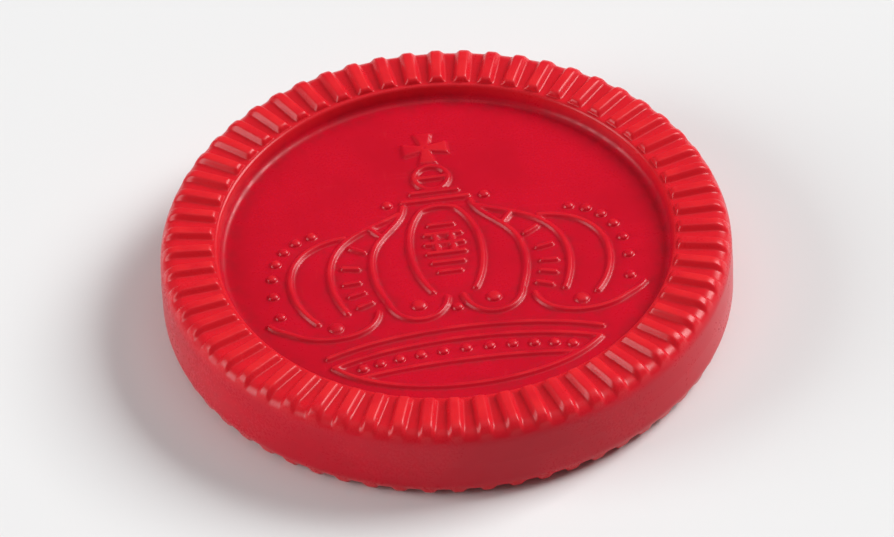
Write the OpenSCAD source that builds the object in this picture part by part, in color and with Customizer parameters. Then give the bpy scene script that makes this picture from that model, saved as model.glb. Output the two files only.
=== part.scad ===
// Draughts (checkers) piece: one moulded plastic disc that stacks on its own kind.
// Each face has a shallow round recess with a crown in low relief on its floor, inside a rim of
// radial ribs. The ribs of one piece drop between those of the next, so a stacked king can't slide.
// The disc lies flat on z = 0, which is the plane of the lower rib crests, and its axis is Z.
// The crown on the upper face stands with its cross towards +Y. The lower face is the upper face
// turned over about X.

/* [Disc] */
// Diameter over the side wall
piece_d = 31.75; // [26:0.25:48]
// Thickness from the lower rib crests to the upper rib crests
piece_t = 5.2; // [4.6:0.1:8]
// Radius of the shoulder between the side wall and the rim, and of the ribs' outer ends
shoulder_r = 0.9; // [0.6:0.05:1]
// Draft of the side wall, each way from the parting line, in degrees
wall_draft = 1; // [0.5:0.25:2]

/* [Rim] */
// Width of the rim, from the side wall to the recess
rim_w = 3.2; // [2.6:0.1:4]
// Width of the smooth lip between the recess and the ribs
lip_w = 0.2; // [0.15:0.05:0.6]
// Number of ribs on each face
rib_n = 60; // [40:1:72]
// Height of the ribs above the rim
rib_h = 0.35; // [0.25:0.05:0.5]
// Width of a rib's crest, as a share of the rib spacing at the lip
rib_crest_share = 0.38; // [0.3:0.02:0.44]
// Slope of a rib's flanks, in degrees from upright
rib_flank = 32; // [20:1:36]
// Rounding at the inner end of a rib
rib_end_r = 0.3; // [0.15:0.05:0.35]
// Distance from the side wall to the outer ends of the ribs
rib_set = 0.12; // [0.1:0.01:0.2]

/* [Recess] */
// Depth of the recess floor below the rib crests
recess_depth = 1.3; // [1:0.05:1.6]
// Draft of the recess wall, in degrees
recess_draft = 12; // [5:1:20]
// Fillet at the recess floor, as a share of the recess wall's height
floor_fillet_share = 0.45; // [0.2:0.05:0.5]
// Rounding of the lip, as a share of the recess wall's height
lip_round_share = 0.25; // [0.1:0.05:0.35]

/* [Crown] */
// Height of the crown's lines above the recess floor
relief_h = 0.18; // [0.12:0.02:0.3]
// Width of the crown's lines
line_w = 0.36; // [0.28:0.02:0.44]
// Radius of a pearl
pearl_r = 0.32; // [0.24:0.02:0.36]
// Radius of a jewel
jewel_r = 0.44; // [0.34:0.02:0.48]
// Size of the whole crown, as a share of the size that fills the recess
crown_share = 1; // [0.85:0.05:1.05]
// Number of pearls along each side of the crown
side_pearl_n = 7; // [5:1:8]
// Number of pearls in the circlet
circlet_pearl_n = 11; // [7:2:13]
// Number of rungs in each side arch
rung_n = 6; // [4:1:7]

/* [Gate scar] */
// Width of the scar where the moulding gate was cut off
gate_w = 2.8; // [2:0.2:4]
// Height of the scar
gate_h = 0.7; // [0.4:0.1:0.9]
// Depth of the scar at its middle
gate_depth = 0.12; // [0.1:0.02:0.2]

/* [Hidden] */
$fn = 120;

// Steps in a rounded corner, a rib's round end, a curve of a crown line and a line's round end
corner_steps = 6;
rib_end_steps = 3;
curve_steps = 7;
cap_steps = 4;
orb_fn = 24;

piece_r = piece_d / 2;
recess_r = piece_r - rim_w;
rib_in_r = recess_r + lip_w;
rib_out_r = piece_r - rib_set;
top_rim_z = piece_t - rib_h;
low_rim_z = rib_h;
top_floor_z = piece_t - recess_depth;
low_floor_z = recess_depth;
parting_z = piece_t / 2;

// The recess wall leans outwards as it rises from the floor to the rim
recess_wall_h = recess_depth - rib_h;
floor_r = recess_r - recess_wall_h * tan(recess_draft);
floor_fillet = recess_wall_h * floor_fillet_share;
lip_round = recess_wall_h * lip_round_share;

// Ribs are bars of one width, so the gaps between them open out towards the side wall
rib_pitch = 360 / rib_n;
rib_crest_w = 2 * PI * rib_in_r / rib_n * rib_crest_share;
rib_root = shoulder_r;
rib_over = rib_h;

// Raised details start this far inside the body that carries them
detail_root = relief_h;
pen_share = 0.3;
pen_r = line_w * pen_share;
crown_unit = recess_r * crown_share;

// Half of the crown, drawn in shares of the recess radius from its centre, with its cross up.
// A line is a chain of cubic curves: an end, two handles, an end, two handles, an end.
arch_bar_shares = [[0.075, 0.27], [0.17, 0.17], [0.19, -0.08], [0.095, -0.25]];
arch_cap_shares = [[-0.075, 0.27], [-0.03, 0.295], [0.03, 0.295], [0.075, 0.27]];
band_inner_shares = [
    [0.15, 0.305], [0.17, 0.18], [0.305, 0.15], [0.33, -0.01],
    [0.345, -0.11], [0.33, -0.20], [0.295, -0.29]
];
band_outer_shares = [
    [0.175, 0.265], [0.25, 0.215], [0.43, 0.19], [0.50, 0.03],
    [0.54, -0.07], [0.535, -0.19], [0.48, -0.32]
];
band_middle_shares = [
    [0.29, 0.165], [0.39, 0.09], [0.43, 0.00], [0.435, -0.10],
    [0.44, -0.16], [0.42, -0.22], [0.395, -0.28]
];
side_arch_shares = [
    [0.43, 0.155], [0.52, 0.155], [0.68, 0.10], [0.70, -0.08],
    [0.71, -0.19], [0.675, -0.29], [0.615, -0.365]
];
side_pearl_shares = [[0.57, 0.195], [0.725, 0.16], [0.82, 0.00], [0.77, -0.29]];
inner_swag_shares = [[0.035, -0.29], [0.06, -0.455], [0.27, -0.455], [0.295, -0.29]];
outer_swag_shares = [
    [0.345, -0.335], [0.37, -0.50], [0.62, -0.50], [0.72, -0.425],
    [0.76, -0.395], [0.795, -0.385], [0.825, -0.345]
];

// The circlet, from its left end to its right end
circlet_top_shares = [[-0.60, -0.59], [-0.28, -0.46], [0.28, -0.46], [0.60, -0.59]];
circlet_edge_shares = [[-0.585, -0.655], [-0.27, -0.53], [0.27, -0.53], [0.585, -0.655]];
circlet_pearl_shares = [[-0.46, -0.675], [-0.22, -0.605], [0.22, -0.605], [0.46, -0.675]];
circlet_lip_shares = [[-0.47, -0.735], [-0.22, -0.685], [0.22, -0.685], [0.47, -0.735]];
circlet_base_shares = [[-0.585, -0.655], [-0.35, -0.92], [0.35, -0.92], [0.585, -0.655]];

// The orb and its cross, the two bars of the collar, and the rungs of the middle arch
cross_middle_share = 0.665;
cross_reach_share = 0.10;
cross_neck_share = 0.016;
cross_tip_share = 0.042;
orb_middle_share = 0.475;
orb_r_share = 0.082;
orb_band_r_share = 0.075;
collar_y_shares = [0.385, 0.335];
collar_w_shares = [0.20, 0.29];
middle_rung_y_shares = [0.17, 0.11, 0.05, -0.01, -0.07, -0.13];
middle_rung_w_shares = [0.10, 0.15, 0.16, 0.16, 0.13, 0.09];
middle_post_x_share = 0.035;
middle_post_low_share = -0.01;
middle_post_high_share = 0.11;
side_rung_w_share = 0.062;

// How far along its band a rung looks each way to set itself square
rung_look_share = 0.01;

// Where the jewels and the odd pearls sit on the right-hand half
jewel_shares = [[0.165, -0.32], [0.54, -0.40]];
bud_share = [0.215, 0.335];
pendant_share = [0, -0.36];

// A cubic curve's point at t, where p holds its two ends and two handles
function cubic(p, t) =
    (1 - t) ^ 3 * p[0] + 3 * (1 - t) ^ 2 * t * p[1] + 3 * (1 - t) * t ^ 2 * p[2] + t ^ 3 * p[3];

// Points along a chain of cubic curves, evenly spread over each
function chain(p) = [
    for (k = [0 : 3 : len(p) - 4], i = [(k == 0 ? 0 : 1) : curve_steps])
        cubic([for (j = [0 : 3]) p[k + j]], i / curve_steps)
];

// A chain's point at t, which runs from 0 to 1 along all of it
function along(p, t) =
    let (
        n = (len(p) - 1) / 3,
        k = min(floor(t * n), n - 1)
    )
    cubic([for (j = [0 : 3]) p[3 * k + j]], t * n - k);

function unit(v) = v / norm(v);
function left_of(v) = [-v.y, v.x];

// The way that a row of points runs as it passes point i
function heading(path, i) = unit(path[min(i + 1, len(path) - 1)] - path[max(i - 1, 0)]);

// The half circle of points that goes round the end of a line of width w
function cap(end, way, w) = [
    for (i = [1 : cap_steps - 1])
        let (turn = 180 * i / cap_steps)
        end + (left_of(way) * cos(turn) + way * sin(turn)) * w / 2
];

// The outline of a round-ended line of width w along a row of points
function ribbon(path, w) =
    let (last = len(path) - 1)
    concat(
        [for (i = [0 : last]) path[i] + left_of(heading(path, i)) * w / 2],
        cap(path[last], heading(path, last), w),
        [for (i = [last : -1 : 0]) path[i] - left_of(heading(path, i)) * w / 2],
        cap(path[0], -heading(path, 0), w)
    );

// The arc of radius r that rounds the corner b between a and c
function corner(a, b, c, r, steps) =
    let (
        u = unit(a - b),
        v = unit(c - b),
        half = acos(u * v) / 2,
        middle = b + unit(u + v) * r / sin(half),
        side = sign(cross(u, v)),
        from = b + u * r / tan(half) - middle,
        start = atan2(from.y, from.x)
    )
    [for (i = [0 : steps])
        let (turn = start - side * (180 - 2 * half) * i / steps)
        middle + r * [cos(turn), sin(turn)]];

// A chain of corners, [point, radius] each, with every radius above zero made round
function rounded(corners, steps) = [
    for (i = [0 : len(corners) - 1])
        let (
            n = len(corners),
            b = corners[i][0],
            r = corners[i][1]
        )
        each r > 0
            ? corner(corners[(i + n - 1) % n][0], b, corners[(i + 1) % n][0], r, steps)
            : [b]
];

// Section of the disc, from the axis out: floor, recess wall, rim and side wall on each face
module disc_section() {
    top_wall_r = piece_r - (top_rim_z - parting_z) * tan(wall_draft);
    low_wall_r = piece_r - (parting_z - low_rim_z) * tan(wall_draft);
    polygon(rounded([
        [[0, low_floor_z], 0],
        [[floor_r, low_floor_z], floor_fillet],
        [[recess_r, low_rim_z], lip_round],
        [[low_wall_r, low_rim_z], shoulder_r],
        [[piece_r, parting_z], 0],
        [[top_wall_r, top_rim_z], shoulder_r],
        [[recess_r, top_rim_z], lip_round],
        [[floor_r, top_floor_z], floor_fillet],
        [[0, top_floor_z], 0]
    ], corner_steps));
}

// The ring that the ribs fill, whose section rounds off both ends of every rib
module rib_ring() {
    rotate_extrude()
        polygon(rounded([
            [[rib_in_r, top_rim_z - rib_root], 0],
            [[rib_out_r, top_rim_z - rib_root], 0],
            [[rib_out_r, piece_t], shoulder_r],
            [[rib_in_r, piece_t], rib_end_r]
        ], rib_end_steps));
}

// One rib: a bar with leaning flanks, longer and taller than the ring that trims it
module rib_bar() {
    crest_half = rib_crest_w / 2;
    low_half = crest_half + (rib_h + 2 * rib_root) * tan(rib_flank);
    high_half = crest_half - rib_over * tan(rib_flank);
    low_z = top_rim_z - 2 * rib_root;
    high_z = piece_t + rib_over;
    translate([rib_in_r - lip_w, 0, 0])
        rotate([90, 0, 90])
            linear_extrude(rim_w + lip_w)
                polygon([[-low_half, low_z], [low_half, low_z], [high_half, high_z], [-high_half, high_z]]);
}

module ribs() {
    intersection() {
        rib_ring();
        for (i = [0 : rib_n - 1]) {
            rotate(i * rib_pitch)
                rib_bar();
        }
    }
}

// A crown line along a chain of curves, drawn short of its width by what the pen adds
module line(shares) {
    polygon(ribbon(chain(crown_unit * shares), line_w - 2 * pen_r));
}

// A straight bar of length w centred on a point
module bar(middle_share, w_share) {
    translate(crown_unit * middle_share)
        square([crown_unit * w_share, line_w - 2 * pen_r], center = true);
}

module both_sides() {
    children();
    mirror([1, 0])
        children();
}

// The cross: four arms that widen from a narrow neck to a broad tip
module cross_arms() {
    neck = crown_unit * cross_neck_share;
    tip = crown_unit * cross_tip_share;
    reach = crown_unit * cross_reach_share;
    translate([0, crown_unit * cross_middle_share]) {
        for (turn = [0 : 90 : 270]) {
            rotate(turn)
                polygon([[-neck, -neck], [neck, -neck], [tip, reach], [-tip, reach]]);
        }
    }
}

module orb() {
    translate([0, crown_unit * orb_middle_share]) {
        difference() {
            circle(crown_unit * orb_r_share, $fn = orb_fn);
            circle(crown_unit * orb_r_share - line_w + 2 * pen_r, $fn = orb_fn);
        }
    }
    bar([0, orb_middle_share], 2 * orb_band_r_share);
}

// The ladder of short bars inside the middle arch, with two posts through its upper half
module middle_rungs() {
    for (i = [0 : len(middle_rung_y_shares) - 1]) {
        bar([0, middle_rung_y_shares[i]], middle_rung_w_shares[i]);
    }
    both_sides() {
        line([for (t = [0 : 3])
            [middle_post_x_share,
                middle_post_low_share + (middle_post_high_share - middle_post_low_share) * t / 3]]);
    }
}

// Short bars set square across the middle of a side arch's band
module side_rungs() {
    for (i = [0 : rung_n - 1]) {
        t = i / (rung_n - 1);
        before = along(band_middle_shares, max(t - rung_look_share, 0));
        after = along(band_middle_shares, min(t + rung_look_share, 1));
        way = after - before;
        translate(crown_unit * along(band_middle_shares, t))
            rotate(atan2(way.y, way.x) + 90)
                square([crown_unit * side_rung_w_share, line_w - 2 * pen_r], center = true);
    }
}

// Every line of the crown in one drawing, which the pen's spread runs together
module crown_lines() {
    offset(delta = pen_r) {
        cross_arms();
        orb();
        for (i = [0 : len(collar_y_shares) - 1]) {
            bar([0, collar_y_shares[i]], collar_w_shares[i]);
        }
        line(arch_cap_shares);
        middle_rungs();
        both_sides() {
            line(arch_bar_shares);
            line(band_inner_shares);
            line(band_outer_shares);
            side_rungs();
            line(side_arch_shares);
            line(inner_swag_shares);
            line(outer_swag_shares);
        }
        line(circlet_top_shares);
        line(circlet_edge_shares);
        line(circlet_lip_shares);
        line(circlet_base_shares);
    }
}

// A pearl or jewel: the cap of a ball, r wide at the floor and as high as the lines
module bead(share, r) {
    ball_r = (r ^ 2 + relief_h ^ 2) / (2 * relief_h);
    translate([crown_unit * share.x, crown_unit * share.y, top_floor_z + relief_h - ball_r])
        sphere(ball_r);
}

module beads() {
    for (i = [0 : circlet_pearl_n - 1]) {
        bead(cubic(circlet_pearl_shares, i / (circlet_pearl_n - 1)), pearl_r);
    }
    bead(pendant_share, pearl_r);
    for (side = [-1, 1]) {
        for (i = [0 : side_pearl_n - 1]) {
            place = cubic(side_pearl_shares, i / (side_pearl_n - 1));
            bead([side * place.x, place.y], pearl_r);
        }
        for (place = jewel_shares) {
            bead([side * place.x, place.y], jewel_r);
        }
        bead([side * bud_share.x, bud_share.y], pearl_r);
    }
}

// What stands up from the upper face: the ribs on the rim and the crown on the recess floor
module face_relief() {
    ribs();
    translate([0, 0, top_floor_z - detail_root])
        linear_extrude(relief_h + detail_root)
            crown_lines();
    beads();
}

// The lower face is the upper one turned over about the line through the disc's middle along X
module turned_over() {
    translate([0, 0, piece_t])
        rotate([180, 0, 0])
            children();
}

// The slice cut off the side wall at +Y, on the parting line
module gate_scar() {
    translate([-gate_w / 2, piece_r - gate_depth, parting_z - gate_h / 2])
        cube([gate_w, 2 * gate_depth, gate_h]);
}

module checker() {
    color([0.79, 0.1, 0.18]) {
        difference() {
            rotate_extrude()
                disc_section();
            gate_scar();
        }
        face_relief();
        turned_over()
            face_relief();
    }
}

checker();
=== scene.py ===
import math
import bpy
import numpy as np
from mathutils import Matrix, Vector
from mathutils.geometry import delaunay_2d_cdt


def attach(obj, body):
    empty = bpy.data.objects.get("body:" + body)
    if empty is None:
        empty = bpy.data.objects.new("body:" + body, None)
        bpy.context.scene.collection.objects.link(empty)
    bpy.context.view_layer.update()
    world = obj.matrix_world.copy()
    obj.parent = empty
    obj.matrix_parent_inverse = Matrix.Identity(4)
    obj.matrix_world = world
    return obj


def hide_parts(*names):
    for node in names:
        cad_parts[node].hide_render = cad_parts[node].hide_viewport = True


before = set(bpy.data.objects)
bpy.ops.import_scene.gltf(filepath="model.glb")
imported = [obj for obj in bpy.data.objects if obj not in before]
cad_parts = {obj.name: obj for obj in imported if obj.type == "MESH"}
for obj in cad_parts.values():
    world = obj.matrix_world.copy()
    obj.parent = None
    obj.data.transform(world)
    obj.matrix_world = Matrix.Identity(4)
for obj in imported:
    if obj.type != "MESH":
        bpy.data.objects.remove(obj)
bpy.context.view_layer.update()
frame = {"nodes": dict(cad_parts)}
scene = bpy.context.scene
scene.view_settings.view_transform = "Standard"
mm = 0.001
print("frame loaded:", ", ".join(frame["nodes"]))

# the disc, in millimetres, with the solid's own sizes
disc = {
    "radius": 15.87,       # a hair inside the solid's wall
    "thick": 5.2,
    "shoulder": 0.9,
    "wallDraft": 1.0,
    "rimWidth": 3.195,
    "lipWidth": 0.2,
    "ribCount": 60,
    "ribHeight": 0.35,
    "ribEnd": 0.3,
    "ribSet": 0.12,        # how far a rib's outer end stays inside the wall
    "recessDepth": 1.3,
    "recessDraft": 12,
    "floorFillet": 0.42,
    "lipRound": 0.23,
    "gateWidth": 2.8,
    "gateHeight": 0.7,
    "gateDepth": 0.12,
    # half a rib across: distance from its middle, share of its height
    "ribShape": [(0.0, 1.0), (0.15, 0.995), (0.215, 0.96), (0.27, 0.85),
                 (0.36, 0.50), (0.44, 0.15), (0.485, 0.03), (0.56, 0.0)],
}
rimZ = disc["thick"] - disc["ribHeight"]
floorZ = disc["thick"] - disc["recessDepth"]
partingZ = disc["thick"] / 2
recessR = disc["radius"] - disc["rimWidth"]
ribInR = recessR + disc["lipWidth"]


def roundCorner(a, b, c, radius, steps):
    # the arc that takes the corner b off the path a, b, c
    a, b, c = (np.array(p, float) for p in (a, b, c))
    u = (a - b) / np.linalg.norm(a - b)
    v = (c - b) / np.linalg.norm(c - b)
    half = math.acos(u @ v) / 2
    mid = b + (u + v) / np.linalg.norm(u + v) * radius / math.sin(half)
    start = b + u * radius / math.tan(half) - mid
    first = math.atan2(start[1], start[0])
    sweep = math.copysign(math.pi - 2 * half, -(u[0] * v[1] - u[1] * v[0]))
    return [tuple(mid + radius * np.array([math.cos(first + sweep * i / steps),
                                           math.sin(first + sweep * i / steps)]))
            for i in range(steps + 1)]


def arcPoint(mid, radius, turn):
    return (mid[0] + radius * math.cos(turn), mid[1] + radius * math.sin(turn))


def wallRadius(z):
    return disc["radius"] - abs(z - partingZ) * math.tan(math.radians(disc["wallDraft"]))


def faceStations(wallR):
    # the section of one face from the recess floor out to the wall, twice over: between two ribs
    # and along a rib's crest. follow is 0 where columns are evenly spread and 1 where they keep
    # to the ribs
    drop = disc["recessDepth"] - disc["ribHeight"]
    floorR = recessR - drop * math.tan(math.radians(disc["recessDraft"]))
    foot = roundCorner((floorR - 2, floorZ), (floorR, floorZ), (recessR, rimZ), disc["floorFillet"], 6)
    lip = roundCorner((floorR, floorZ), (recessR, rimZ), (recessR + 2, rimZ), disc["lipRound"], 4)
    rows = [(p, p, 0.0) for p in foot]
    rows += [(p, p, i / len(lip)) for i, p in enumerate(lip)]
    for turn in (0, 15, 33, 52, 72, 90):   # the rib's rounded inner end
        a = math.radians(turn)
        r = ribInR + disc["ribEnd"] * (1 - math.cos(a))
        rows.append(((r, rimZ), (r, rimZ + disc["ribHeight"] * math.sin(a)), 1.0))
    # over the shoulder: a rib's rounded outer end sinks into the disc's own shoulder where they meet
    bend = disc["shoulder"]
    low = np.array([wallR - bend, rimZ - bend])
    high = np.array([wallR - disc["ribSet"] - bend, disc["thick"] - bend])
    apart = low - high
    across = np.array([-apart[1], apart[0]]) / np.linalg.norm(apart)
    meet = (low + high) / 2 + across * math.sqrt(bend ** 2 - apart @ apart / 4)
    lowEnd = math.atan2(*(meet - low)[::-1])
    highEnd = math.atan2(*(meet - high)[::-1])
    crestIn = ribInR + disc["ribEnd"]
    for share in (0.33, 0.66):
        r = crestIn + (high[0] - crestIn) * share
        rows.append(((r, rimZ), (r, disc["thick"]), 1.0))
    for i in range(8):
        a, b = (math.pi / 2 + (end - math.pi / 2) * i / 7 for end in (lowEnd, highEnd))
        rows.append((arcPoint(low, bend, a), arcPoint(high, bend, b), 1.0))
    for i in range(1, 4):
        p = arcPoint(low, bend, lowEnd * (1 - i / 3))
        rows.append((p, p, 1.0))
    return rows


def discSection():
    upper = faceStations(wallRadius(rimZ - disc["shoulder"]))
    lower = faceStations(wallRadius(disc["ribHeight"] + disc["shoulder"]))
    thick = disc["thick"]
    flip = [((g[0], thick - g[1]), (c[0], thick - c[1]), f) for g, c, f in reversed(lower)]
    half = disc["gateHeight"] / 2
    scarRows = [half + 0.12, half + 0.03, half - 0.03, half - 0.12]   # close rows keep its edges crisp
    levels = [rimZ - disc["shoulder"] - 0.1, *(partingZ + d for d in scarRows), partingZ,
              *(partingZ - d for d in reversed(scarRows)), disc["ribHeight"] + disc["shoulder"] + 0.1]
    wall = [((wallRadius(z), z), (wallRadius(z), z), 1.0) for z in levels]
    return upper, wall, flip


# the crown, in shares of the recess radius, cross up. a line is a chain of cubic curves
crown = {
    "lineHeight": 0.18,
    "lineFoot": 0.27,       # half width where a line leaves the floor
    "lineTop": 0.06,        # half width of its flat top
    "pearlR": 0.32,
    "jewelR": 0.44,
    "beadHeight": 0.2,
    "paired": [
        [(0.075, 0.27), (0.17, 0.17), (0.19, -0.08), (0.095, -0.25)],
        [(0.15, 0.305), (0.17, 0.18), (0.305, 0.15), (0.33, -0.01),
         (0.345, -0.11), (0.33, -0.20), (0.295, -0.29)],
        [(0.175, 0.265), (0.25, 0.215), (0.43, 0.19), (0.50, 0.03),
         (0.54, -0.07), (0.535, -0.19), (0.48, -0.32)],
        [(0.43, 0.155), (0.52, 0.155), (0.68, 0.10), (0.70, -0.08),
         (0.71, -0.19), (0.675, -0.29), (0.615, -0.365)],
        [(0.035, -0.29), (0.06, -0.455), (0.27, -0.455), (0.295, -0.29)],
        [(0.345, -0.335), (0.37, -0.50), (0.62, -0.50), (0.72, -0.425),
         (0.76, -0.395), (0.795, -0.385), (0.825, -0.345)],
    ],
    "single": [
        [(-0.075, 0.27), (-0.03, 0.295), (0.03, 0.295), (0.075, 0.27)],
        [(-0.60, -0.59), (-0.28, -0.46), (0.28, -0.46), (0.60, -0.59)],
        [(-0.585, -0.655), (-0.27, -0.53), (0.27, -0.53), (0.585, -0.655)],
        [(-0.47, -0.735), (-0.22, -0.685), (0.22, -0.685), (0.47, -0.735)],
        [(-0.585, -0.655), (-0.35, -0.92), (0.35, -0.92), (0.585, -0.655)],
    ],
    "bars": [(0.385, 0.20), (0.335, 0.29), (0.17, 0.10), (0.11, 0.15), (0.05, 0.16),
             (-0.01, 0.16), (-0.07, 0.13), (-0.13, 0.09), (0.475, 0.15)],   # height, width
    "posts": [(0.035, -0.01, 0.11)],                                         # place, low, high
    "band": [(0.29, 0.165), (0.39, 0.09), (0.43, 0.00), (0.435, -0.10),
             (0.44, -0.16), (0.42, -0.22), (0.395, -0.28)],
    "rungs": 6,
    "rungWidth": 0.062,
    "orb": (0.475, 0.075),                                                   # height, radius
    "cross": (0.665, 0.10, 0.016, 0.042),                                    # height, reach, neck, tip
    "sidePearls": ([(0.57, 0.195), (0.725, 0.16), (0.82, 0.00), (0.77, -0.29)], 7),
    "circletPearls": ([(-0.46, -0.675), (-0.22, -0.605), (0.22, -0.605), (0.46, -0.675)], 11),
    "pairedPearls": [(0.215, 0.335)],
    "middlePearls": [(0, -0.36)],
    "jewels": [(0.165, -0.32), (0.54, -0.40)],
}


def cubic(p, t):
    a, b, c, d = (np.array(q, float) for q in p)
    return (1 - t) ** 3 * a + 3 * (1 - t) ** 2 * t * b + 3 * (1 - t) * t ** 2 * c + t ** 3 * d


def chain(p, step):
    # evenly spaced points along a chain of cubic curves
    raw = np.array([cubic(p[k:k + 4], i / 60) for k in range(0, len(p) - 3, 3) for i in range(61)])
    return respace(raw, step)


def respace(raw, step):
    raw = np.array(raw, float)
    gaps = np.linalg.norm(np.diff(raw, axis=0), axis=1)
    keep = np.concatenate([[True], gaps > 1e-9])
    raw = raw[keep]
    run = np.concatenate([[0], np.cumsum(np.linalg.norm(np.diff(raw, axis=0), axis=1))])
    count = max(2, int(round(run[-1] / step)) + 1)
    at = np.linspace(0, run[-1], count)
    return np.stack([np.interp(at, run, raw[:, 0]), np.interp(at, run, raw[:, 1])], axis=1)


def crownStrokes(step):
    # every line of the crown as a row of points, in millimetres
    size = recessR
    mirror = np.array([-1, 1])
    rows = []
    for p in crown["paired"]:
        row = chain(np.array(p) * size, step)
        rows += [row, row * mirror]
    rows += [chain(np.array(p) * size, step) for p in crown["single"]]
    for y, w in crown["bars"]:
        rows.append(respace([(-w / 2 * size, y * size), (w / 2 * size, y * size)], step))
    for x, low, high in crown["posts"]:
        row = respace([(x * size, low * size), (x * size, high * size)], step)
        rows += [row, row * mirror]
    band = np.array(crown["band"]) * size
    for i in range(crown["rungs"]):
        t = i / (crown["rungs"] - 1) * 2
        k = min(int(t), 1)
        part = band[3 * k:3 * k + 4]
        here = cubic(part, t - k)
        way = cubic(part, min(t - k + 0.02, 1)) - cubic(part, max(t - k - 0.02, 0))
        across = np.array([-way[1], way[0]]) / np.linalg.norm(way) * crown["rungWidth"] / 2 * size
        row = respace([here - across, here + across], step)
        rows += [row, row * mirror]
    height, radius = crown["orb"]
    ring = [(radius * size * math.cos(a), (height + radius * math.sin(a)) * size)
            for a in np.linspace(0, 2 * math.pi, 73)]
    rows.append(respace(ring, step))
    return rows


def crownBeads():
    beads = []
    size = recessR
    pearl, jewel = crown["pearlR"], crown["jewelR"]
    p, n = crown["circletPearls"]
    beads += [(cubic(p, i / (n - 1)) * size, pearl) for i in range(n)]
    beads += [(np.array(q) * size, pearl) for q in crown["middlePearls"]]
    p, n = crown["sidePearls"]
    for side in (1, -1):
        flip = np.array([side, 1]) * size
        beads += [(cubic(p, i / (n - 1)) * flip, pearl) for i in range(n)]
        beads += [(np.array(q) * flip, pearl) for q in crown["pairedPearls"]]
        beads += [(np.array(q) * flip, jewel) for q in crown["jewels"]]
    return beads


def crossOutline():
    # the four-armed cross as the arms' middle lines, each with its half widths at neck and tip
    y, reach, neck, tip = (v * recessR for v in crown["cross"])
    arms = []
    for a in range(4):
        way = np.array([math.cos(a * math.pi / 2), math.sin(a * math.pi / 2)])
        arms.append((np.array([0, y]), np.array([0, y]) + way * reach, neck, tip))
    return arms


def smooth(low, high, x):
    t = np.clip((x - low) / (high - low), 0, 1)
    return t * t * (3 - 2 * t)


class CrownRelief:
    # answers how high the crown stands at any points of the recess floor

    def __init__(self):
        self.strokes = crownStrokes(0.12)
        self.beads = crownBeads()
        self.arms = crossOutline()
        self.starts = np.concatenate([s[:-1] for s in self.strokes])
        self.ends = np.concatenate([s[1:] for s in self.strokes])

    def reach(self, pts):
        # distance to the nearest line
        best = np.full(len(pts), 1e9)
        for lo in range(0, len(pts), 1500):
            p = pts[lo:lo + 1500, None, :]
            ab = (self.ends - self.starts)[None]
            t = np.clip(((p - self.starts[None]) * ab).sum(2) / (ab * ab).sum(2), 0, 1)
            near = self.starts[None] + ab * t[..., None]
            best[lo:lo + 1500] = np.sqrt(((p - near) ** 2).sum(2)).min(1)
        return best

    def armReach(self, pts):
        # distance outside the cross, below zero inside it
        best = np.full(len(pts), 1e9)
        for a, b, neck, tip in self.arms:
            way = (b - a) / np.linalg.norm(b - a)
            s = (pts - a) @ way
            across = np.abs((pts - a) @ np.array([-way[1], way[0]]))
            length = np.linalg.norm(b - a)
            half = neck + (tip - neck) * np.clip(s / length, 0, 1)
            best = np.minimum(best, np.maximum(across - half, np.maximum(s - length, -s)))
        return best

    def height(self, pts):
        lines = crown["lineHeight"] * (1 - smooth(crown["lineTop"], crown["lineFoot"], self.reach(pts)))
        soft = (crown["lineFoot"] - crown["lineTop"]) / 2
        arms = crown["lineHeight"] * (1 - smooth(-soft, soft, self.armReach(pts)))
        out = np.maximum(lines, arms)
        for middle, r in self.beads:
            d = np.linalg.norm(pts - middle, axis=1)
            dome = crown["beadHeight"] * np.sqrt(np.clip(1 - (d / r) ** 2, 0, 1))
            out = np.maximum(out, dome)
        return out


# where the floor's points lie, in millimetres
floorGrid = {
    "alongLine": 0.25,
    "besideLine": [0.07, 0.13, 0.2, 0.27, 0.36],
    "roundEnd": [-60, -20, 20, 60],            # degrees off the line's way
    "roundBead": [(0.0, 1), (0.4, 8), (0.7, 12), (0.88, 16),
                  (0.98, 16), (1.03, 16), (1.2, 16)],   # share of its radius, count
    "onCross": 0.09,
    "roundCross": 0.3,
    "onBareFloor": 0.6,
    "clearOfLine": 0.45,
    "clearOfBead": 0.12,
    "insideEdge": 0.16,
    "edgePoints": 360,
    "cell": 0.034,
}


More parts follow.
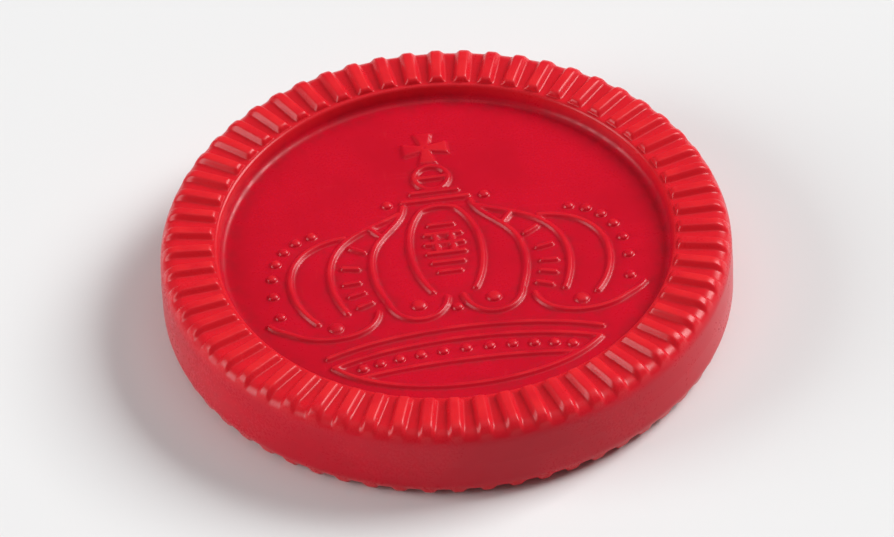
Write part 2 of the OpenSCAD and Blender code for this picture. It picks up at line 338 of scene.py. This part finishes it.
def floorPoints(relief, edgeR):
    # points that follow the crown's lines closely and are sparse on the bare floor
    found = []
    for row in relief.strokes:
        row = respace(row, floorGrid["alongLine"])
        way = np.gradient(row, axis=0)
        way /= np.linalg.norm(way, axis=1)[:, None]
        left = np.stack([-way[:, 1], way[:, 0]], axis=1)
        found.append(np.column_stack([row, np.zeros(len(row))]))
        for off in floorGrid["besideLine"]:
            for side in (-1, 1):
                found.append(np.column_stack([row + left * off * side, np.full(len(row), off)]))
            for end, out in ((row[0], -way[0]), (row[-1], way[-1])):
                for turn in floorGrid["roundEnd"]:
                    a = math.radians(turn)
                    aim = np.array([out[0] * math.cos(a) - out[1] * math.sin(a),
                                    out[0] * math.sin(a) + out[1] * math.cos(a)])
                    found.append(np.array([[*(end + aim * off), off]]))
    lines = np.concatenate(found)
    clear = np.abs(relief.reach(lines[:, :2]) - lines[:, 2]) < 0.02
    pts = [lines[clear, :2]]
    for middle, r in relief.beads:
        for share, n in floorGrid["roundBead"]:
            a = np.linspace(0, 2 * math.pi, n, endpoint=False)
            pts.append(middle + r * share * np.stack([np.cos(a), np.sin(a)], axis=1))
    y, reach = crown["cross"][0] * recessR, crown["cross"][1] * recessR
    span = reach + floorGrid["roundCross"]
    g = np.arange(-span, span + 0.01, floorGrid["onCross"])
    gx, gy = np.meshgrid(g, g)
    near = np.stack([gx.ravel(), gy.ravel() + y], axis=1)
    pts.append(near[relief.armReach(near) < 0.2])
    step = floorGrid["onBareFloor"]
    gx, gy = np.meshgrid(np.arange(-edgeR, edgeR, step), np.arange(-edgeR, edgeR, step * 0.866))
    gx[1::2] += step / 2
    bare = np.stack([gx.ravel(), gy.ravel()], axis=1)
    bare = bare[np.linalg.norm(bare, axis=1) < edgeR - floorGrid["clearOfLine"]]
    bare = bare[relief.reach(bare) > floorGrid["clearOfLine"]]
    for middle, r in relief.beads:
        bare = bare[np.linalg.norm(bare - middle, axis=1) > r * 1.15 + floorGrid["clearOfBead"]]
    pts.append(bare)
    a = np.linspace(0, 2 * math.pi, floorGrid["edgePoints"], endpoint=False)
    pts.append((edgeR - floorGrid["insideEdge"]) * np.stack([np.cos(a), np.sin(a)], axis=1))
    pts = np.concatenate(pts)
    pts = pts[np.linalg.norm(pts, axis=1) < edgeR - 0.1]
    spot = np.round(pts / floorGrid["cell"]).astype(int)   # no two points in one small cell
    first = np.unique(spot, axis=0, return_index=True)[1]
    return pts[np.sort(first)]


def rimStrip():
    # rows of points from the upper recess floor out over the rim, down the wall and back in below,
    # and how far up a rib each one is
    upper, wall, lower = discSection()
    shape = disc["ribShape"]
    across = [(-x, w) for x, w in reversed(shape[1:])] + shape + [(None, 0.0)]
    count, per = disc["ribCount"], len(across)
    pitch = 2 * math.pi / count
    weight = np.tile([w for x, w in across], count)
    even = (np.arange(count * per) - len(shape) + 1) * pitch / per
    ribMid = np.repeat(np.arange(count) * pitch, per)
    gap = np.tile([x is None for x, w in across], count)
    offset = np.tile([x or 0.0 for x, w in across], count)
    strip, proud, nook = [], [], []
    for groove, crest, follow in upper + wall + lower:
        r = groove[0] + weight * (crest[0] - groove[0])
        z = groove[1] + weight * (crest[1] - groove[1])
        a = even + follow * (np.where(gap, ribMid + pitch / 2, ribMid + offset / r) - even)
        strip.append(np.stack([r * np.cos(a), r * np.sin(a), z], axis=1))
        rise = abs(crest[1] - groove[1]) / disc["ribHeight"]
        proud.append(weight * rise)
        # nook marks the grooves between ribs and the floor's foot, where the material paints shade
        nook.append(np.maximum((1 - weight) * rise, 1.0 - follow if follow < 0.3 else 0.0))
    strip = np.array(strip)

    # the scar where the gate was cut off, a flat in the wall at +Y
    x, y, z = strip[..., 0], strip[..., 1], strip[..., 2]
    beside = (np.abs(x) < disc["gateWidth"] / 2) & (y > 0)
    scar = beside & (np.abs(z - partingZ) < disc["gateHeight"] / 2)
    y[scar] = np.minimum(y[scar], disc["radius"] - disc["gateDepth"])
    return strip, np.array(proud), np.array(nook), len(upper), len(wall)


def crownFloor(edge):
    # the recess floor inside the ring of edge points, as points, triangles, wear values and the corners
    # that get painted shade
    relief = CrownRelief()
    count = len(edge)
    edgeR = np.linalg.norm(edge[0])
    flat = np.concatenate([edge, floorPoints(relief, edgeR)])
    ring = [(i, (i + 1) % count) for i in range(count)]
    out = delaunay_2d_cdt([Vector(p) for p in flat.tolist()], ring, [], 0, 1e-6)
    place = np.array([p[:] for p in out[0]])
    tris = np.array([t for t in out[2] if len(t) == 3])
    source = np.array([o[0] if o else -1 for o in out[3]])
    toEdge = edgeR - np.linalg.norm(place, axis=1)
    high = np.where(toEdge < 0.05, 0, relief.height(place))
    proud = high / crown["lineHeight"]
    # nook marks the foot of the crown's lines and the recess edge, where the material paints shade
    nook = (1 - smooth(crown["lineFoot"], 0.6, relief.reach(place))) * np.clip(1 - proud, 0, 1)
    nook = np.maximum(nook, 1 - smooth(0, 0.9, toEdge))
    return place, tris, source, high, proud, nook


# where the islands for baking lie: two round faces above, four strips of wall below
bakeSheet = {
    "upperMiddle": 0.25,
    "lowerMiddle": 0.75,
    "faceHeight": 0.75,
    "faceReach": 0.24,
    "strips": 4,
    "stripStart": 0.01,
    "stripLength": 0.98,
    "stripFoot": 0.02,
    "stripPitch": 0.12,
    "stripHeight": 0.1,
}


def bakeMap(mesh, strip, upperN, wallN, place, tris):
    sheet = bakeSheet
    rows, cols = strip.shape[:2]
    turn = np.arctan2(strip[..., 1], strip[..., 0])
    run = np.zeros(rows)
    run[1:] = np.cumsum(np.linalg.norm(np.diff(strip, axis=0), axis=2).mean(1))
    edgeR = np.linalg.norm(strip[0, 0, :2])
    reach = edgeR + run[upperN - 1]
    scale = sheet["faceReach"] / reach

    def spot(row, col, lower):
        out = edgeR + (run[-1] - run[row] if lower else run[row])
        a = turn[row, col] * (-1 if lower else 1)
        middle = sheet["lowerMiddle"] if lower else sheet["upperMiddle"]
        return np.stack([middle + scale * out * np.cos(a),
                         sheet["faceHeight"] + scale * out * np.sin(a)], axis=1)

    col = np.arange(cols)
    nextCol = (col + 1) % cols
    quarter = cols // sheet["strips"]
    wallRun = run[upperN + wallN] - run[upperN - 1]
    found = []
    for row in range(rows - 1):
        if upperN - 1 <= row < upperN + wallN:
            u = sheet["stripStart"] + sheet["stripLength"] * (col % quarter) / quarter
            step = sheet["stripLength"] / quarter
            base = sheet["stripFoot"] + sheet["stripPitch"] * (col // quarter)
            up = sheet["stripHeight"] / wallRun
            low, high = (base + up * (run[r] - run[upperN - 1]) for r in (row, row + 1))
            corners = [(u, low), (u, high), (u + step, high), (u + step, low)]
            found.append(np.stack([np.stack(c, axis=1) for c in corners], axis=1))
        else:
            lower = row >= upperN + wallN
            corners = [spot(row, col, lower), spot(row + 1, col, lower),
                       spot(row + 1, nextCol, lower), spot(row, nextCol, lower)]
            found.append(np.stack(corners, axis=1))
    for middle in (sheet["upperMiddle"], sheet["lowerMiddle"]):
        found.append((np.array([middle, sheet["faceHeight"]]) + scale * place)[tris])
    layer = mesh.uv_layers.new(name="OFBake")
    layer.data.foreach_set("uv", np.concatenate([f.reshape(-1, 2) for f in found]).ravel())


def buildChecker(name):
    strip, proud, nook, upperN, wallN = rimStrip()
    rows, cols = strip.shape[:2]
    grid = np.arange(rows * cols).reshape(rows, cols)
    ahead = np.roll(grid, -1, axis=1)
    quads = np.stack([grid[:-1], grid[1:], ahead[1:], ahead[:-1]], axis=2).reshape(-1, 4)
    print("rim and wall:", len(quads), "faces")
    place, tris, source, high, floorProud, floorNook = crownFloor(strip[0, :, :2])
    print("each floor:", len(tris), "faces")

    # the lower floor is the upper one turned over, and joins the last row where the first was joined
    onEdge = (source >= 0) & (source < cols)
    free = ~onEdge
    topIds = np.where(onEdge, source, rows * cols + np.cumsum(free) - 1)
    mirrored = (2 * (len(disc["ribShape"]) - 1) - source) % cols
    lowIds = np.where(onEdge, grid[-1][mirrored], rows * cols + free.sum() + np.cumsum(free) - 1)
    top = np.column_stack([place, floorZ + high])[free]
    low = np.column_stack([place * [1, -1], disc["thick"] - floorZ - high])[free]

    mesh = bpy.data.meshes.new(name)
    points = np.concatenate([strip.reshape(-1, 3), top, low]) * mm
    mesh.from_pydata(points.tolist(), [], quads.tolist() + topIds[tris].tolist() + lowIds[tris].tolist())
    mesh.polygons.foreach_set("use_smooth", np.ones(len(mesh.polygons), bool))
    for label, rim, floor in (("proud", proud, floorProud), ("nook", nook, floorNook)):
        values = mesh.attributes.new(label, "FLOAT", "POINT")
        values.data.foreach_set("value", np.concatenate([rim.ravel(), floor[free], floor[free]]))
    bakeMap(mesh, strip, upperN, wallN, place, tris)
    mesh.update()
    piece = bpy.data.objects.new(name, mesh)
    scene.collection.objects.link(piece)
    return piece


checker = buildChecker("checkerBody")
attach(checker, "root")
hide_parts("checker")
print("checker built:", len(checker.data.polygons), "faces")


class Sock:
    # a node's output that can stand in a sum

    def __init__(self, finish, out):
        self.finish = finish
        self.out = out

    def sum(self, how, a, b):
        return self.finish.node("ShaderNodeMath", {"operation": how}, {0: a, 1: b})

    def __add__(self, other):
        return self.sum("ADD", self, other)

    def __radd__(self, other):
        return self.sum("ADD", other, self)

    def __sub__(self, other):
        return self.sum("SUBTRACT", self, other)

    def __rsub__(self, other):
        return self.sum("SUBTRACT", other, self)

    def __mul__(self, other):
        return self.sum("MULTIPLY", self, other)

    def __rmul__(self, other):
        return self.sum("MULTIPLY", other, self)


class Finish:
    # a material and the nodes that are added to it

    def __init__(self, name):
        self.mat = bpy.data.materials.new(name)
        self.mat.use_nodes = True
        self.tree = self.mat.node_tree
        self.shader = self.tree.nodes["Principled BSDF"]

    def node(self, kind, settings=None, sockets=None, out=0):
        made = self.tree.nodes.new(kind)
        for key, value in (settings or {}).items():
            setattr(made, key, value)
        for key, value in (sockets or {}).items():
            self.feed(made.inputs[key], value)
        return Sock(self, made.outputs[out])

    def feed(self, socket, value):
        if isinstance(value, Sock):
            self.tree.links.new(value.out, socket)
        else:
            socket.default_value = value

    def set(self, **values):
        for key, value in values.items():
            self.feed(self.shader.inputs[key.replace("_", " ")], value)

    def noise(self, place, scale, detail):
        return self.node("ShaderNodeTexNoise", None, {"Vector": place, "Scale": scale, "Detail": detail})

    def stretch(self, place, by):
        return self.node("ShaderNodeVectorMath", {"operation": "MULTIPLY"}, {0: place, 1: by})

    def ramp(self, value, low, high):
        # 0 at low and 1 at high, eased at both ends
        return self.node("ShaderNodeMapRange", {"interpolation_type": "SMOOTHSTEP"},
                         {"Value": value, "From Min": low, "From Max": high})

    def size(self, value):
        return self.node("ShaderNodeMath", {"operation": "ABSOLUTE"}, {0: value})

    def mix(self, share, a, b):
        return self.node("ShaderNodeMix", {"data_type": "RGBA"}, {0: share, 6: a, 7: b}, out=2)


def linear(r, g, b):
    # a colour picked on screen, 0 to 255, as the renderer wants it
    out = []
    for v in (r, g, b):
        v /= 255
        out.append(v / 12.92 if v <= 0.04045 else ((v + 0.055) / 1.055) ** 2.4)
    return (*out, 1.0)


# what the plastic does over the surface. scales are per millimetre
redPlastic = {
    "colour": linear(202, 10, 38),
    "deep": linear(191, 7, 34),         # where the colour lies thick
    "wornAndLit": linear(226, 38, 44),      # crests worn by other pieces, and a painted highlight that makes the whole rim paler
    "cornerShadeColour": linear(120, 10, 24),
    # painted shade: a darker red for grooves and corners
    "scar": linear(214, 70, 84),        # stress-whitened where the gate was cut
    "roughness": 0.28,
    "specular": 0.24,
    "glow": 0.25,                       # share of the light that scatters inside
    "glowReach": 0.6,
    "glowSpread": (1.0, 0.15, 0.15),    # red light goes furthest
    "bumpDepth": 0.012,
    # the rim's paleness below is painted light: the whole rim top made paler than the recess floor
    "rimPaintedLight": 0.5,                     # how far each of these shows in the colour
    "rubPale": 0.4,
    "scuffPale": 0.1,
    "cornerShadeShare": 0.28,
    "scarShare": 0.4,
    "mottleScale": 0.22,
    "grainScale": 7.0,
    "scuffScale": 0.9,
}


def makeRedPlastic():
    f = Finish("redPlastic")
    here = f.node("ShaderNodeTexCoord", out="Object")
    place = f.node("ShaderNodeVectorMath", {"operation": "SCALE"}, {0: here, "Scale": 1 / mm})
    x, y, z = (f.node("ShaderNodeSeparateXYZ", None, {0: place}, out=i) for i in range(3))
    proud = f.node("ShaderNodeAttribute", {"attribute_name": "proud"}, out="Fac")
    nook = f.node("ShaderNodeAttribute", {"attribute_name": "nook"}, out="Fac")

    mottle = f.noise(place, redPlastic["mottleScale"], 4)
    flow = f.noise(f.stretch(place, (1.1, 0.12, 0.4)), 1.0, 3)
    grain = f.noise(place, redPlastic["grainScale"], 2)
    patch = f.noise(place, 0.55, 3)
    along = f.noise(f.stretch(place, (0.35, 7.0, 1.0)), redPlastic["scuffScale"], 2)
    across = f.noise(f.stretch(place, (6.0, 0.8, 1.0)), redPlastic["scuffScale"], 2)
    scuff = (f.ramp(along, 0.64, 0.74) + f.ramp(across, 0.66, 0.75)) * f.ramp(patch, 0.42, 0.62)

    # crests are worn in patches, and painted shade darkens the grooves and corners
    rub = f.ramp(proud, 0.7, 1.0) * f.ramp(patch, 0.3, 0.7)
    offMiddle = f.size(z - partingZ)
    onRim = f.ramp(offMiddle, partingZ - 1.2, partingZ - 0.5)
    shadeInCorners = nook * (1 - onRim * 0.7) * f.ramp(f.noise(place, 1.3, 4), 0.35, 0.7)
    halfHigh, halfWide = disc["gateHeight"] / 2, disc["gateWidth"] / 2
    scarHigh = f.ramp(offMiddle, halfHigh + 0.01, halfHigh - 0.02)
    scarWide = f.ramp(f.size(x), halfWide + 0.05, halfWide - 0.02)
    scar = f.ramp(y, disc["radius"] - 0.27, disc["radius"] - 0.17) * scarHigh * scarWide
    parting = f.ramp(offMiddle, 0.06, 0.0)

    colour = f.mix(f.ramp(mottle, 0.3, 0.75), redPlastic["colour"], redPlastic["deep"])
    colour = f.mix(f.ramp(flow, 0.45, 0.8) * 0.35, colour, redPlastic["deep"])
    # on the rim this is a painted highlight over the whole rim; rub patches and scuffs are wear
    pale = onRim * redPlastic["rimPaintedLight"] + rub * redPlastic["rubPale"] + scuff * redPlastic["scuffPale"]
    colour = f.mix(pale, colour, redPlastic["wornAndLit"])
    # painted shade in the grooves, at the foot of crown lines and round the recess edge
    colour = f.mix(shadeInCorners * redPlastic["cornerShadeShare"], colour, redPlastic["cornerShadeColour"])
    colour = f.mix(scar * redPlastic["scarShare"], colour, redPlastic["scar"])
    rough = redPlastic["roughness"] + (mottle - 0.5) * 0.08 + (grain - 0.5) * 0.06
    rough = rough + rub * 0.08 + scuff * 0.12 + shadeInCorners * 0.18 + scar * 0.3
    height = grain * 0.22 + mottle * 0.5 - scuff * 0.35 + parting * 0.8 + scar * grain * 1.5
    bump = f.node("ShaderNodeBump", None,
                  {"Strength": 0.5, "Distance": redPlastic["bumpDepth"] * mm, "Height": height})
    f.set(Base_Color=colour, Roughness=rough, Normal=bump, Specular_IOR_Level=redPlastic["specular"])
    f.set(Subsurface_Weight=redPlastic["glow"], Subsurface_Scale=redPlastic["glowReach"] * mm,
          Subsurface_Radius=redPlastic["glowSpread"])
    return f.mat


checker.data.materials.append(makeRedPlastic())
print("plastic mixed:", len(checker.data.materials[0].node_tree.nodes), "nodes")

# a plain pale floor, in metres
table = {"half": 3.0, "colour": (0.78, 0.78, 0.78, 1), "roughness": 1.0, "specular": 0.0}
corners = [(x * table["half"], y * table["half"], 0) for x, y in ((-1, -1), (1, -1), (1, 1), (-1, 1))]
tableMesh = bpy.data.meshes.new("tableTop")
tableMesh.from_pydata(corners, [], [(0, 1, 2, 3)])
tableTop = bpy.data.objects.new("tableTop", tableMesh)
scene.collection.objects.link(tableTop)
tablePaint = Finish("tablePaint")
tablePaint.set(Base_Color=table["colour"], Roughness=table["roughness"],
               Specular_IOR_Level=table["specular"])
tableMesh.materials.append(tablePaint.mat)
print("floor laid")

# soft light from both sides and from above, as in a small product studio
lamps = {
    "key": {"place": (2.0, 0.65, 1.65), "size": 1.4, "power": 82.5},
    "fill": {"place": (-2.25, -0.12, 0.95), "size": 1.5, "power": 41.0},
    "above": {"place": (0.0, -0.25, 2.4), "size": 2.0, "power": 6.9},
}
for name, lamp in lamps.items():
    data = bpy.data.lights.new(name + "Softbox", "AREA")
    data.shape = "SQUARE"
    data.size = lamp["size"]
    data.energy = lamp["power"]
    made = bpy.data.objects.new(name + "Softbox", data)
    made.location = lamp["place"]
    made.rotation_euler = (-Vector(lamp["place"])).to_track_quat("-Z", "Y").to_euler()
    scene.collection.objects.link(made)
air = {"Color": (1, 1, 1, 1), "Strength": 0.14}
world = bpy.data.worlds.new("studioAir")
scene.world = world
world.use_nodes = True
for name, value in air.items():
    world.node_tree.nodes["Background"].inputs[name].default_value = value
print("lamps hung:", ", ".join(lamps))

# the photograph's view, closed in on the piece
view = {"azimuth": -6.2, "elevation": 43.1, "roll": 2.85, "distance": 0.7425, "lens": 539.0,
        "sensor": 36, "clipStart": 0.01}
az, el = math.radians(view["azimuth"]), math.radians(view["elevation"])
back = Vector((math.sin(az) * math.cos(el), -math.cos(az) * math.cos(el), math.sin(el)))
aim = Vector((0, 0, disc["thick"] / 2 * mm))
camData = bpy.data.cameras.new("camera")
camData.lens = view["lens"]
camData.sensor_width = view["sensor"]
camData.clip_start = view["clipStart"]
camera = bpy.data.objects.new("camera", camData)
turn = (-back).to_track_quat("-Z", "Y").to_matrix().to_4x4()
roll = Matrix.Rotation(-math.radians(view["roll"]), 4, "Z")
camera.matrix_world = Matrix.Translation(aim + back * view["distance"]) @ turn @ roll
scene.collection.objects.link(camera)
scene.camera = camera
print("camera placed")
